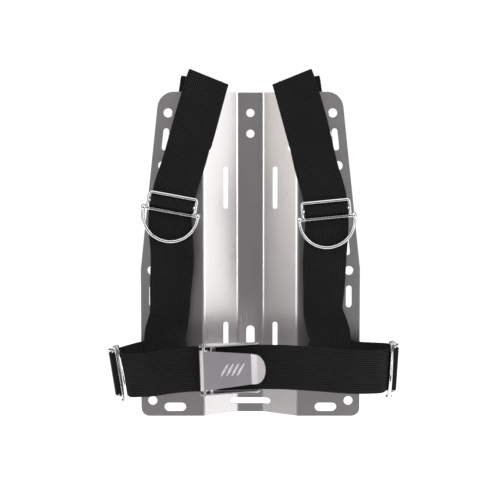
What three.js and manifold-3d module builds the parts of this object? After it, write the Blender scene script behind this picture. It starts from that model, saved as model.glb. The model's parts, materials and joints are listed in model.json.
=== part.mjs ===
// Diving harness: folded steel backplate, webbing straps, wire slides with hinged
// D-rings and a lever buckle. Millimetres, +Z up. The wearer's side faces -Y.
// The origin lies on the channel's rear face, midway between the two cylinder bolts.
import * as THREE from 'three';
import { mergeVertices } from 'three/addons/utils/BufferGeometryUtils.js';
import Module from 'manifold-3d';

const wasm = await Module();
wasm.setup();

// ---- shared fits -------------------------------------------------------------
const GAP = 0.3; // clearance between parts that rest against each other
const WEAVE_GAP = 0.6; // clearance where webbing climbs over a wire

// ---- backplate ---------------------------------------------------------------
const SHEET = 3; // sheet thickness
const PLATE_HEIGHT = 394;
const PLATE_HALF_WIDTH = 132.8; // parallel lower part
const PLATE_TOP_HALF_WIDTH = 109.9;
const SIDE_BREAK_UP = 180; // height where the sides start to lean in
const TOP_CORNER_R = 20;
const BOTTOM_CORNER_R = 10;
const CHANNEL_FLOOR_HALF = 16; // flat strip down the middle
const CHANNEL_MOUTH_HALF = 57; // bend lines between slopes and wings
const CHANNEL_DEPTH = 22;
const BEND_R = 9;
const BOLT_SPACING = 279.4; // 11 inches
const LOWER_BOLT_UP = 89.7;
const BOLT_HOLE_R = 5;
const LOWER_BOLT_SLOT = 35;
const SPARE_HOLE_DROP = 25.4; // second upper hole below the first
const EDGE_PITCH = 31.75; // 1.25 inches
const EDGE_HOLE_R = 5.5;
const EDGE_SLOT_LENGTH = 26.8;
const EDGE_SLOT_WIDTH = 7;
const EDGE_INSET = 13.5; // hole centre to plate edge
const EDGE_TOP_UP = 368.6;
const EDGE_COUNT = 8;
const CORNER_HOLE_OUT = 119;
const CORNER_HOLE_UP = 18.8;
const FOOT_SLOT_OUT = 91.5;
const FOOT_SLOT_UP = 11;
const FOOT_SLOT_LENGTH = 26.3;
const FOOT_SLOT_WIDTH = 10.5;
const BAND_SLOT_OUT = 30.2; // cylinder band slots on the slopes
const BAND_SLOT_WIDTH = 5.8;
const BAND_SLOT_LENGTH = 51.7;
const BAND_SLOT_UPPER_UP = 277.8;
const BAND_SLOT_LOWER_UP = 87.3;
const KEEPER_SLOT_LENGTH = 25.5;
const KEEPER_SLOT_WIDTH = 8;
const KEEPER_SLOT_UP = 27.1;
const CROTCH_SLOT_LENGTH = 49.2;
const CROTCH_SLOT_WIDTH = 7.5;
const CROTCH_SLOT_UP = 13.8;

// ---- webbing -----------------------------------------------------------------
const WEB_WIDTH = 50.8; // 2 inches
const WEB_THICK = 2.4;
const WEB_SLOT_LENGTH = WEB_WIDTH + 5;
const TOP_SLOT_SLANT = 20; // slanted slot for the shoulder strap's upper end
const TOP_SLOT_END_OUT = 95.7;
const TOP_SLOT_UP = 341;
const FOLD_OUT = 51; // shoulder fold
const FOLD_UP = 408;
const FOLD_SLANT = 22;
const FOLD_R = 3;
const TAIL_OUT = 59.5; // free end behind the plate
const TAIL_UP = 411;
const TAIL_CLEAR = 2.6; // free end to the channel's slope
const LOW_SLOT_MARGIN = 7; // level slot for the shoulder strap's lower end, to the edge
const LOW_SLOT_LIP_UP = 39.5;
const LOW_TAIL_UP = 131;
const WAIST_LIP_OUT = 101; // upright slot for the waist strap
const WAIST_SLOT_SLANT = 10;
const SLOT_BRIDGE = 4.5; // metal between the level and the upright slot
const WAIST_TAIL = 26;

// ---- wire slides and D-rings -------------------------------------------------
const WIRE = 4.1;
const SLIDE_PITCH = 1.24 * (WIRE + WEB_THICK + 2 * WEAVE_GAP); // middle bar to outer bar
const SLIDE_HALF = WEB_WIDTH / 2 + GAP + WIRE / 2; // to the side wire's centre
const SLIDE_LIFT = WIRE / 2 + WEAVE_GAP + WEB_THICK / 2; // strap centre to slide plane
const RING_WIRE = 3.8;
const RING_EYE_R = 4;
const RING_EYE_AT = SLIDE_HALF + WIRE / 2 + GAP + RING_WIRE / 2;
const RING_ARM = 2.8;
const ROD_END = RING_EYE_AT + RING_WIRE / 2 + GAP;
const HIP_STRAIGHT = SLIDE_PITCH + WIRE; // straight webbing each side of a hip's middle bar
const ROD_HEAD = 0.7; // height and rim of the peened ends

// ---- buckle ------------------------------------------------------------------
const BUCKLE_LEFT = -58;
const BUCKLE_LENGTH = 70;
const BUCKLE_UP = 77.8;
const BUCKLE_TILT = 2;
const BUCKLE_STAND = 85; // wing face to the rear of the base
const BUCKLE_SHEET = 1.5;
const BUCKLE_INNER_HALF = WEB_WIDTH / 2 + 1;
const BUCKLE_BAR = 8; // base bar that carries the sewn loop
const BUCKLE_SLOT = WEB_THICK + 4.1;
const RAIL_HIGH = 14.5;
const RAIL_LOW = 6.5;
const PIN_R = 2;
const PIN_ALONG = 6;
const BARREL_R = 5.4;
const PIN_LIFT = BUCKLE_SHEET + WEB_THICK + 3 * GAP + BARREL_R;
const LEVER_SHEET = 1.8;
const LEVER_ROOT_HALF = 22;
const LEVER_NECK_HALF = 16.8;
const LEVER_NECK_ALONG = 59;
const LEVER_TIP_ALONG = 75;
const LEVER_TIP_ROUND = 12;
const RIDGE_ALONG = 24;

// ---- the two sides: where each strap and its fittings hang --------------------
const SIDES = {
  left: {
    sign: -1, slideOut: 91, slideUp: 261.8, slideLean: 10.5, bowOut: 91.5, bowUp: 200,
    bow: 44, lowOut: 97.5, lowUp: 122, crossOut: 103, hipOut: 156.5, hipUp: 59,
    hipLean: 9, hipTurn: 35, ringTurn: 14,
  },
  right: {
    sign: 1, slideOut: 88, slideUp: 255, slideLean: 5.5, bowOut: 87, bowUp: 196,
    bow: 44, lowOut: 87.5, lowUp: 128, crossOut: 96, hipOut: 167, hipUp: 64,
    hipLean: 3.5, hipTurn: 27, ringTurn: 7,
  },
};

// ---- derived places ----------------------------------------------------------
const ORIGIN_UP = LOWER_BOLT_UP + BOLT_SPACING / 2;
const WING_BACK = -CHANNEL_DEPTH;
const WING_FRONT = WING_BACK - SHEET;
const WING_MIDDLE = (WING_BACK + WING_FRONT) / 2;
const BUCKLE_BACK = WING_FRONT - BUCKLE_STAND;
const LAP_R = SHEET / 2 + GAP + WEB_THICK / 2; // webbing wrapped round the sheet
const WAIST_SLOT_WIDTH = LAP_R + WEB_THICK / 2 + 3.8;
const WAIST_SLOT_UP = LOW_SLOT_LIP_UP + SLOT_BRIDGE
  + (Math.cos(THREE.MathUtils.degToRad(WAIST_SLOT_SLANT)) * WEB_SLOT_LENGTH) / 2;
const OVERLAY = 1.5 * WEB_THICK + 2 * GAP; // a second layer's centre above the sheet
const LOW_TURN_R = SHEET / 2 + OVERLAY + 2.5 * GAP;
const LOW_SLOT_WIDTH = LOW_TURN_R + WEB_THICK / 2 + GAP + 1;
const LOW_SLOT_OUT = PLATE_HALF_WIDTH - LOW_SLOT_MARGIN - WEB_SLOT_LENGTH / 2;
const TOP_SLOT_OUT = TOP_SLOT_END_OUT
  - (Math.cos(THREE.MathUtils.degToRad(TOP_SLOT_SLANT)) * WEB_SLOT_LENGTH) / 2;
const TOP_TURN_R = (tailDepth(TOP_SLOT_OUT) - (WING_MIDDLE - LAP_R - GAP)) / 2; // loose turn
const TOP_SLOT_WIDTH = TOP_TURN_R + WEB_THICK / 2 + 4;

// Depth of a strap lying behind the plate, clear of the slope at its inner edge.
function tailDepth(out) {
  const onSlope = Math.max(CHANNEL_MOUTH_HALF - (out - 0.5 * WEB_WIDTH), 0);
  const rise = (onSlope * CHANNEL_DEPTH) / (CHANNEL_MOUTH_HALF - CHANNEL_FLOOR_HALF);
  return WING_BACK + rise + WEB_THICK / 2 + TAIL_CLEAR;
}

const rad = THREE.MathUtils.degToRad;
const at = (x, y, z) => new THREE.Vector3(x, y, z);

// ---- solid tools -------------------------------------------------------------
function solidOf(geometry) {
  const bare = new THREE.BufferGeometry();
  bare.setAttribute('position', geometry.getAttribute('position'));
  if (geometry.index) bare.setIndex(geometry.index);
  const merged = mergeVertices(bare, 1e-4);
  return new wasm.Manifold(new wasm.Mesh({
    numProp: 3,
    vertProperties: new Float32Array(merged.getAttribute('position').array),
    triVerts: new Uint32Array(merged.index.array),
  }));
}

function geometryOf(solid) {
  const mesh = solid.getMesh();
  const geometry = new THREE.BufferGeometry();
  geometry.setAttribute('position', new THREE.BufferAttribute(mesh.vertProperties, 3));
  geometry.setIndex(new THREE.BufferAttribute(mesh.triVerts, 1));
  geometry.computeVertexNormals();
  return geometry;
}

function join(geometries) {
  return geometries.map(solidOf).reduce((whole, next) => whole.add(next));
}

// Skin over equal rings of points, capped at both ends unless it closes on itself.
function skin(rings, closed = false) {
  const count = rings[0].length;
  const points = rings.flat();
  const faces = [];
  const spans = closed ? rings.length : rings.length - 1;
  for (let i = 0; i < spans; i += 1) {
    const a = i * count;
    const b = ((i + 1) % rings.length) * count;
    for (let j = 0; j < count; j += 1) {
      const k = (j + 1) % count;
      faces.push([a + j, b + j, b + k], [a + j, b + k, a + k]);
    }
  }
  if (!closed) {
    const last = (rings.length - 1) * count;
    for (let j = 1; j < count - 1; j += 1) {
      faces.push([0, j, j + 1], [last, last + j + 1, last + j]);
    }
  }
  const volume = faces.reduce((sum, [a, b, c]) => (
    sum + points[a].dot(points[b].clone().cross(points[c]))), 0);
  const index = faces.flatMap(([a, b, c]) => (volume < 0 ? [a, c, b] : [a, b, c]));
  const geometry = new THREE.BufferGeometry();
  const flat = new Float32Array(points.flatMap((p) => [p.x, p.y, p.z]));
  geometry.setAttribute('position', new THREE.BufferAttribute(flat, 3));
  geometry.setIndex(index);
  geometry.computeVertexNormals();
  return geometry;
}

// Round wire along a flat path; `across` is the path plane's normal.
function wire(path, radius, across, closed = false, sides = 10) {
  const rings = path.map((point, i) => {
    const before = path[closed ? (i + path.length - 1) % path.length : Math.max(i - 1, 0)];
    const after = path[closed ? (i + 1) % path.length : Math.min(i + 1, path.length - 1)];
    const ahead = after.clone().sub(before).normalize();
    const inward = ahead.clone().cross(across).normalize();
    return Array.from({ length: sides }, (_, j) => {
      const turn = (2 * Math.PI * j) / sides;
      return point.clone().addScaledVector(inward, radius * Math.cos(turn))
        .addScaledVector(across, radius * Math.sin(turn));
    });
  });
  return skin(rings, closed);
}

// Rod between two points.
function rod(from, to, radius, sides = 16) {
  const ahead = to.clone().sub(from).normalize();
  const helper = Math.abs(ahead.z) < 0.9 ? at(0, 0, 1) : at(1, 0, 0);
  return wire([from, to], radius, ahead.clone().cross(helper).normalize(), false, sides);
}

function arc(middle, radius, from, to, steps) {
  return Array.from({ length: steps + 1 }, (_, i) => {
    const turn = rad(from + ((to - from) * i) / steps);
    return [middle[0] + radius * Math.cos(turn), middle[1] + radius * Math.sin(turn)];
  });
}

function shapeOf(points) {
  return new THREE.Shape(points.map(([x, y]) => new THREE.Vector2(x, y)));
}

// Rounded slot outline: centre, full length, width, slope of the long axis in degrees.
function slotPoints(out, up, length, width, slope) {
  const reach = (length - width) / 2;
  const ends = [...arc([reach, 0], width / 2, -90, 90, 8), ...arc([-reach, 0], width / 2, 90, 270, 8)];
  const c = Math.cos(rad(slope));
  const s = Math.sin(rad(slope));
  return ends.map(([x, y]) => [out + x * c - y * s, up + x * s + y * c]);
}

// Sheet of even thickness along a centre line, as a closed outline.
function sheetOutline(line, thickness) {
  const offset = (side) => line.map(([x, y], i) => {
    const [ax, ay] = line[Math.max(i - 1, 0)];
    const [bx, by] = line[Math.min(i + 1, line.length - 1)];
    const before = new THREE.Vector2(x - ax, y - ay);
    const after = new THREE.Vector2(bx - x, by - y);
    const along = before.clone().normalize().add(after.clone().normalize()).normalize();
    const whole = after.length() ? after : before;
    const miter = Math.abs(along.dot(whole.clone().normalize())) || 1;
    const reach = (side * thickness) / 2 / miter;
    return [x - along.y * reach, y + along.x * reach];
  });
  return [...offset(-1), ...offset(1).reverse()];
}

// Bends of a centre line replaced by arcs of the given radius.
function eased(line, radius, steps = 4) {
  const result = [line[0]];
  for (let i = 1; i < line.length - 1; i += 1) {
    const corner = new THREE.Vector2(...line[i]);
    const back = new THREE.Vector2(...line[i - 1]).sub(corner).normalize();
    const on = new THREE.Vector2(...line[i + 1]).sub(corner).normalize();
    const half = Math.acos(THREE.MathUtils.clamp(back.dot(on), -1, 1)) / 2;
    const cut = radius / Math.tan(half);
    const middle = back.clone().add(on).normalize().multiplyScalar(radius / Math.sin(half));
    const start = back.clone().multiplyScalar(cut).sub(middle);
    const end = on.clone().multiplyScalar(cut).sub(middle);
    for (let k = 0; k <= steps; k += 1) {
      const spot = start.clone().lerp(end, k / steps).setLength(radius).add(middle).add(corner);
      result.push([spot.x, spot.y]);
    }
  }
  return [...result, line.at(-1)];
}

// ---- backplate ---------------------------------------------------------------
function edgeOut(up) {
  const lean = (PLATE_HALF_WIDTH - PLATE_TOP_HALF_WIDTH) / (PLATE_HEIGHT - SIDE_BREAK_UP);
  return PLATE_HALF_WIDTH - Math.max(up - SIDE_BREAK_UP, 0) * lean;
}

function makeBackplate() {
  const leanAngle = THREE.MathUtils.radToDeg(Math.atan(
    (PLATE_HALF_WIDTH - PLATE_TOP_HALF_WIDTH) / (PLATE_HEIGHT - SIDE_BREAK_UP)));
  const half = [
    ...arc([PLATE_HALF_WIDTH - BOTTOM_CORNER_R, BOTTOM_CORNER_R], BOTTOM_CORNER_R, -90, 0, 6),
    [PLATE_HALF_WIDTH, SIDE_BREAK_UP],
    ...arc([edgeOut(PLATE_HEIGHT - TOP_CORNER_R) - TOP_CORNER_R, PLATE_HEIGHT - TOP_CORNER_R],
      TOP_CORNER_R, leanAngle, 90, 8),
  ];
  const blank = shapeOf([...half, ...half.map(([x, y]) => [-x, y]).reverse()]);
  const through = (shape) => new THREE.ExtrudeGeometry(shape, {
    depth: 2 * CHANNEL_DEPTH, bevelEnabled: false,
  }).rotateX(Math.PI / 2).translate(0, CHANNEL_DEPTH / 2, 0);
  const cutters = [];
  const cut = (points) => cutters.push(through(shapeOf(points)));

  cut(arc([0, LOWER_BOLT_UP + BOLT_SPACING], BOLT_HOLE_R, 0, 345, 23));
  cut(arc([0, LOWER_BOLT_UP + BOLT_SPACING - SPARE_HOLE_DROP], BOLT_HOLE_R, 0, 345, 23));
  cut(slotPoints(0, LOWER_BOLT_UP, LOWER_BOLT_SLOT, 2 * BOLT_HOLE_R, 90));
  cut(slotPoints(0, KEEPER_SLOT_UP, KEEPER_SLOT_LENGTH, KEEPER_SLOT_WIDTH, 0));
  cut(slotPoints(0, CROTCH_SLOT_UP, CROTCH_SLOT_LENGTH, CROTCH_SLOT_WIDTH, 0));
  for (const side of [-1, 1]) {
    for (let i = 0; i < EDGE_COUNT; i += 1) {
      const up = EDGE_TOP_UP - i * EDGE_PITCH;
      const out = side * (edgeOut(up) - EDGE_INSET);
      const slope = 90 + side * (up > SIDE_BREAK_UP ? leanAngle : 0);
      if (i % 2) cut(slotPoints(out, up, EDGE_SLOT_LENGTH, EDGE_SLOT_WIDTH, slope));
      else cut(arc([out, up], EDGE_HOLE_R, 0, 345, 23));
    }
    cut(arc([side * CORNER_HOLE_OUT, CORNER_HOLE_UP], EDGE_HOLE_R, 0, 345, 23));
    cut(slotPoints(side * FOOT_SLOT_OUT, FOOT_SLOT_UP, FOOT_SLOT_LENGTH, FOOT_SLOT_WIDTH, 0));
    for (const up of [BAND_SLOT_UPPER_UP, BAND_SLOT_LOWER_UP]) {
      cut(slotPoints(side * BAND_SLOT_OUT, up, BAND_SLOT_LENGTH, BAND_SLOT_WIDTH, 90));
    }
    const slant = side * TOP_SLOT_SLANT;
    cut(slotPoints(
      side * TOP_SLOT_OUT + Math.sin(rad(slant)) * TOP_SLOT_WIDTH / 2,
      TOP_SLOT_UP - Math.cos(rad(slant)) * TOP_SLOT_WIDTH / 2,
      WEB_SLOT_LENGTH, TOP_SLOT_WIDTH, slant));
    cut(slotPoints(side * LOW_SLOT_OUT, LOW_SLOT_LIP_UP - LOW_SLOT_WIDTH / 2,
      WEB_SLOT_LENGTH, LOW_SLOT_WIDTH, 0));
    cut(slotPoints(side * (WAIST_LIP_OUT - WAIST_SLOT_WIDTH / 2), WAIST_SLOT_UP,
      WEB_SLOT_LENGTH, WAIST_SLOT_WIDTH, 90 - side * WAIST_SLOT_SLANT));
  }

  const floor = -SHEET / 2;
  const line = eased([
    [-PLATE_HALF_WIDTH - SHEET, WING_MIDDLE], [-CHANNEL_MOUTH_HALF, WING_MIDDLE],
    [-CHANNEL_FLOOR_HALF, floor], [CHANNEL_FLOOR_HALF, floor],
    [CHANNEL_MOUTH_HALF, WING_MIDDLE], [PLATE_HALF_WIDTH + SHEET, WING_MIDDLE],
  ], BEND_R);
  const folded = new THREE.ExtrudeGeometry(shapeOf(sheetOutline(line, SHEET)), {
    depth: PLATE_HEIGHT + 2 * SHEET, bevelEnabled: false,
  });
  folded.translate(0, 0, -SHEET);
  return geometryOf(solidOf(through(blank)).intersect(solidOf(folded)).subtract(join(cutters)));
}

// ---- webbing -----------------------------------------------------------------
// A strap through stations {p: centre, w: direction across}; at each slide frame the
// strap climbs over the middle bar.
function makeStrap(stations, slides = []) {
  const route = new THREE.CatmullRomCurve3(stations.map((s) => s.p), false, 'centripetal');
  const samples = Math.round(2 * route.getLength());
  const steps = stations.length - 1;
  const spots = [];
  for (let i = 0; i <= samples; i += 1) {
    const t = route.getUtoTmapping(i / samples);
    const k = Math.min(Math.floor(t * steps), steps - 1);
    const point = route.getPoint(t);
    for (const { centre, along, out } of slides) {
      const away = point.clone().sub(centre).addScaledVector(out, SLIDE_LIFT);
      const reach = away.dot(along);
      if (Math.abs(reach) < SLIDE_PITCH && Math.abs(away.dot(out)) < SLIDE_LIFT) {
        point.addScaledVector(out, SLIDE_LIFT * (1 + Math.cos((Math.PI * reach) / SLIDE_PITCH)));
      }
    }
    spots.push({ point, across: stations[k].w.clone().lerp(stations[k + 1].w, t * steps - k) });
  }
  const rings = [];
  let kept = null;
  spots.forEach(({ point, across }, i) => {
    const before = spots[Math.max(i - 1, 0)].point;
    const after = spots[Math.min(i + 1, spots.length - 1)].point;
    const ahead = after.clone().sub(before).normalize();
    const ends = i === 0 || i === spots.length - 1;
    if (!ends && kept && ahead.angleTo(kept.ahead) < rad(6)
      && point.distanceTo(kept.point) < 16) return;
    kept = { ahead, point };
    const wide = across.clone().addScaledVector(ahead, -across.dot(ahead)).normalize();
    const up = wide.clone().cross(ahead);
    rings.push([[-1, -1], [1, -1], [1, 1], [-1, 1]].map(([a, b]) => point.clone()
      .addScaledVector(wide, (a * WEB_WIDTH) / 2).addScaledVector(up, (b * WEB_THICK) / 2)));
  });
  return skin(rings);
}

// Half turn about a level or upright edge: from `start` side to `end` side of the centre.
function turnStations(centre, radius, from, over, w, steps = 6) {
  return Array.from({ length: steps + 1 }, (_, i) => {
    const turn = (Math.PI * i) / steps;
    return {
      p: centre.clone().addScaledVector(from, radius * Math.cos(turn))
        .addScaledVector(over, radius * Math.sin(turn)),
      w,
    };
  });
}

// Places a slide: centre of its middle bar, direction along the strap, outward side.
function slideFrame(centre, along, out) {
  const v = along.clone().normalize();
  const n = out.clone().addScaledVector(v, -out.dot(v)).normalize();
  return { centre, along: v, out: n, across: v.clone().cross(n) };
}

function sideFrames(name) {
  const s = SIDES[name];
  const lean = rad(s.slideLean);
  const shoulder = slideFrame(
    at(s.sign * s.slideOut, WING_FRONT - s.bow - SLIDE_LIFT, s.slideUp),
    at(s.sign * Math.sin(lean), 0, -Math.cos(lean)), at(0, -1, 0));

  const tip = rad(s.hipLean);
  const across = at(s.sign * Math.sin(tip), 0, Math.cos(tip));
  const inward = (degrees) => {
    const along = at(-s.sign * Math.sin(rad(degrees)), -Math.cos(rad(degrees)), 0);
    return along.addScaledVector(across, -along.dot(across)).normalize();
  };
  const outward = (along) => across.clone().cross(along).multiplyScalar(s.sign);
  const forward = inward(s.hipTurn);
  const hip = slideFrame(
    at(s.sign * s.hipOut, WING_FRONT - 24, s.hipUp).addScaledVector(outward(forward), SLIDE_LIFT),
    forward, outward(forward));
  const ringForward = inward(s.ringTurn); // the hip's D-ring hangs turned on its bar
  const hipRing = slideFrame(
    hip.centre.clone().addScaledVector(forward, SLIDE_PITCH)
      .addScaledVector(ringForward, -SLIDE_PITCH),
    ringForward, outward(ringForward));

  const tailLean = Math.atan((TOP_SLOT_OUT - TAIL_OUT) / (TAIL_UP - TOP_SLOT_UP));
  const topOut = TOP_SLOT_OUT - 20 * Math.tan(tailLean);
  const top = slideFrame(
    at(s.sign * topOut, tailDepth(topOut) + SLIDE_LIFT, TOP_SLOT_UP + 20),
    at(-s.sign * Math.sin(tailLean), 0.15, Math.cos(tailLean)), at(0, 1, 0));

  const low = slideFrame(
    at(s.sign * LOW_SLOT_OUT, WING_MIDDLE + LOW_TURN_R + SLIDE_LIFT, LOW_TAIL_UP - 15),
    at(0, 0, 1), at(0, 1, 0));
  return { shoulder, hip, hipRing, top, low };
}

function onStrap(frame, reach, w) {
  return {
    p: frame.centre.clone().addScaledVector(frame.out, -SLIDE_LIFT)
      .addScaledVector(frame.along, reach),
    w: w || frame.across,
  };
}

function makeShoulderStrap(name) {
  const s = SIDES[name];
  const { shoulder, top, low } = sideFrames(name);
  const slanted = (degrees) => at(Math.cos(rad(degrees)), 0, s.sign * Math.sin(rad(degrees)));
  const level = at(1, 0, 0);
  const facing = (frame) => (frame.across.x < 0 ? frame.across.clone().negate() : frame.across);
  const slotW = slanted(TOP_SLOT_SLANT);
  const foldW = slanted(FOLD_SLANT);
  const layer = WING_MIDDLE - LAP_R - GAP;
  const lip = at(s.sign * TOP_SLOT_OUT, layer + TOP_TURN_R, TOP_SLOT_UP);
  const down = at(s.sign * Math.sin(rad(TOP_SLOT_SLANT)), 0, -Math.cos(rad(TOP_SLOT_SLANT)));
  const rise = at(s.sign * -Math.sin(rad(FOLD_SLANT)), 0, Math.cos(rad(FOLD_SLANT)));
  const front = at(0, -1, 0);
  const back = at(0, 1, 0);
  const out = (x, depth, up, w) => ({ p: at(s.sign * x, WING_FRONT - depth, up), w });
  return makeStrap([
    { p: at(s.sign * TAIL_OUT, tailDepth(TAIL_OUT), TAIL_UP), w: slanted(14) },
    onStrap(top, 16, facing(top)),
    onStrap(top, 0, facing(top)),
    onStrap(top, -13, facing(top)),
    ...turnStations(lip, TOP_TURN_R, back, down, slotW),
    { p: at(s.sign * (TOP_SLOT_OUT + FOLD_OUT) / 2, layer - 0.5, (TOP_SLOT_UP + FOLD_UP) / 2),
      w: slanted(21) },
    ...turnStations(at(s.sign * FOLD_OUT, layer - FOLD_R, FOLD_UP), FOLD_R, back, rise, foldW),
    out(66, 17, 357, slanted(17)),
    out((66 + s.slideOut) / 2, 31, (357 + s.slideUp) / 2, slanted(15)),
    onStrap(shoulder, -16, facing(shoulder)),
    onStrap(shoulder, 0, facing(shoulder)),
    onStrap(shoulder, 16, facing(shoulder)),
    out(s.bowOut, s.bow - 1, s.bowUp, level),
    out((s.bowOut + s.lowOut) / 2, 34, (s.bowUp + s.lowUp) / 2, at(1, 0.25 * s.sign, 0)),
    out(s.lowOut, 22, s.lowUp, at(1, 0.45 * s.sign, 0)),
    out(s.crossOut, OVERLAY + 5.8, 98, at(1, 0.15 * s.sign, 0)),
    out(s.crossOut - 1, OVERLAY + 1.8, 78, level),
    out(LOW_SLOT_OUT + 1, OVERLAY + 1, 58, level),
    ...turnStations(at(s.sign * LOW_SLOT_OUT, WING_MIDDLE, LOW_SLOT_LIP_UP), LOW_TURN_R,
      front, at(0, 0, -1), level),
    onStrap(low, -30, level),
    onStrap(low, 0, level),
    onStrap(low, 15, level),
  ], [top, shoulder, low]);
}

function hipStations(name) {
  const s = SIDES[name];
  const { hip } = sideFrames(name);
  const upright = hip.across.z < 0 ? hip.across.clone().negate() : hip.across;
  const slope = rad(WAIST_SLOT_SLANT);
  const w = at(s.sign * Math.sin(slope), 0, Math.cos(slope));
  const outward = at(s.sign * Math.cos(slope), 0, -Math.sin(slope));
  const lip = at(s.sign * WAIST_LIP_OUT, WING_MIDDLE, WAIST_SLOT_UP);
  const back = at(0, 1, 0);
  const turned = onStrap(hip, -HIP_STRAIGHT).p;
  const rear = (reach, depth) => lip.clone().addScaledVector(outward, reach)
    .add(at(0, WING_FRONT - depth - WING_MIDDLE, 0));
  return [
    { p: lip.clone().addScaledVector(outward, WAIST_TAIL).addScaledVector(back, LAP_R), w },
    ...turnStations(lip, LAP_R, back, outward.clone().negate(), w),
    { p: rear(16, LAP_R - SHEET / 2 + 2 * GAP), w },
    { p: rear(30, LAP_R - SHEET / 2 + 2 * GAP), w },
    { p: at(turned.x - s.sign * 9.3, WING_FRONT - 5.5, s.hipUp + 1), w: upright },
    { p: at(turned.x - s.sign * 1.8, WING_FRONT - 9, s.hipUp), w: upright },
    ...[-HIP_STRAIGHT, -SLIDE_PITCH, 0, SLIDE_PITCH, HIP_STRAIGHT].map((reach) => (
      onStrap(hip, reach, upright))),
  ];
}

function makeWaistStrapLeft() {
  const s = SIDES.left;
  const up = at(0, 0, 1);
  const web = BUCKLE_BACK - BUCKLE_SHEET - GAP - WEB_THICK / 2; // centre on the base
  const turn = BUCKLE_SHEET / 2 + GAP + WEB_THICK / 2;
  const height = BUCKLE_UP - 1.4;
  const lip = at(BUCKLE_LEFT + BUCKLE_BAR + 1.1, BUCKLE_BACK - BUCKLE_SHEET / 2, height);
  const lap = WEB_THICK + 2 * GAP;
  const path = [
    [-s.hipOut + 13.5, WING_FRONT - 44, s.hipUp + 0.5],
    [-s.hipOut + 22.5, WING_FRONT - 55, s.hipUp + 3],
    [-s.hipOut + 40.5, WING_FRONT - 71, s.hipUp + 7.5],
    [BUCKLE_LEFT - 34, web + 4.5, height - 3.5],
    [BUCKLE_LEFT - 16, web + 0.9, height - 1.2],
    [BUCKLE_LEFT - 3, web, height - 0.2],
  ];
  return makeStrap([
    ...hipStations('left'),
    ...path.map(([x, y, z]) => ({ p: at(x, y, z), w: up })),
    ...turnStations(lip, turn, at(0, -1, 0), at(1, 0, 0), up),
    { p: at(BUCKLE_LEFT + 1, lip.y + turn, height), w: up },
    { p: at(BUCKLE_LEFT - 16, web + 0.9 + lap, height - 1.2), w: up },
    { p: at(BUCKLE_LEFT - 33, web + 4.5 + lap, height - 3.4), w: up },
  ], [sideFrames('left').hip]);
}

function makeWaistStrapRight() {
  const s = SIDES.right;
  const up = at(0, 0, 1);
  const web = BUCKLE_BACK - BUCKLE_SHEET - GAP - WEB_THICK / 2;
  const path = [
    [s.hipOut - 11.5, WING_FRONT - 45, s.hipUp + 0.5],
    [s.hipOut - 22, WING_FRONT - 57, s.hipUp + 2.5],
    [s.hipOut - 50, WING_FRONT - 75, s.hipUp + 6.5],
    [s.hipOut - 88, WING_FRONT - 85, s.hipUp + 11.5],
    [BUCKLE_LEFT + BUCKLE_LENGTH + 26, web + 0.6, BUCKLE_UP + 0.6],
    [BUCKLE_LEFT + BUCKLE_LENGTH, web, BUCKLE_UP + 1],
    [BUCKLE_LEFT + 46, web, BUCKLE_UP + 0.3],
    [BUCKLE_LEFT + 19, web, BUCKLE_UP - 0.5],
  ];
  return makeStrap([
    ...hipStations('right'),
    ...path.map(([x, y, z]) => ({ p: at(x, y, z), w: up })),
  ], [sideFrames('right').hip]);
}

// ---- wire slides and D-rings, drawn across X and along Y, outward Z ------------
function placed(geometry, { across, along, out, centre }) {
  const basis = new THREE.Matrix4().makeBasis(across, along, out).setPosition(centre);
  return geometry.applyMatrix4(basis);
}

function slideLoop() {
  const r = 3;
  const corners = [[1, 1, 0], [-1, 1, 90], [-1, -1, 180], [1, -1, 270]];
  const path = corners.flatMap(([x, y, from]) => arc(
    [x * (SLIDE_HALF - r), y * (SLIDE_PITCH - r)], r, from, from + 90, 4));
  return wire(path.map(([x, y]) => at(x, y, 0)), WIRE / 2, at(0, 0, 1), true);
}

function makeSlide(hinged) {
  const bars = [slideLoop(), rod(at(-SLIDE_HALF, 0, 0), at(SLIDE_HALF, 0, 0), WIRE / 2)];
  if (hinged) {
    bars.push(rod(at(-ROD_END, SLIDE_PITCH, 0), at(ROD_END, SLIDE_PITCH, 0), WIRE / 2));
    for (const side of [-1, 1]) {
      bars.push(rod(at(side * ROD_END, SLIDE_PITCH, 0),
        at(side * (ROD_END + ROD_HEAD), SLIDE_PITCH, 0), WIRE / 2 + ROD_HEAD));
    }
  }
  return geometryOf(join(bars));
}

function makeRing() {
  const path = [
    [RING_EYE_AT, SLIDE_PITCH],
    ...arc([0, SLIDE_PITCH + RING_ARM], RING_EYE_AT, 0, 180, 28),
    [-RING_EYE_AT, SLIDE_PITCH],
  ];
  const eyes = [-1, 1].map((side) => rod(
    at(side * RING_EYE_AT - RING_WIRE / 2, SLIDE_PITCH, 0),
    at(side * RING_EYE_AT + RING_WIRE / 2, SLIDE_PITCH, 0), RING_EYE_R, 20));
  const bow = wire(path.map(([x, y]) => at(x, y, 0)), RING_WIRE / 2, at(0, 0, 1));
  const bore = rod(at(-2 * SLIDE_HALF, SLIDE_PITCH, 0), at(2 * SLIDE_HALF, SLIDE_PITCH, 0),
    WIRE / 2 + GAP, 20);
  return geometryOf(join([bow, ...eyes]).subtract(solidOf(bore)));
}

// ---- buckle, drawn along X from its sewn end, across Y, outward Z ---------------
const buckleFrame = {
  centre: at(BUCKLE_LEFT, BUCKLE_BACK, BUCKLE_UP - (BUCKLE_LENGTH / 2) * Math.tan(rad(BUCKLE_TILT))),
  across: at(Math.cos(rad(BUCKLE_TILT)), 0, Math.sin(rad(BUCKLE_TILT))),
  along: at(-Math.sin(rad(BUCKLE_TILT)), 0, Math.cos(rad(BUCKLE_TILT))),
  out: at(0, -1, 0),
};

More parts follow.
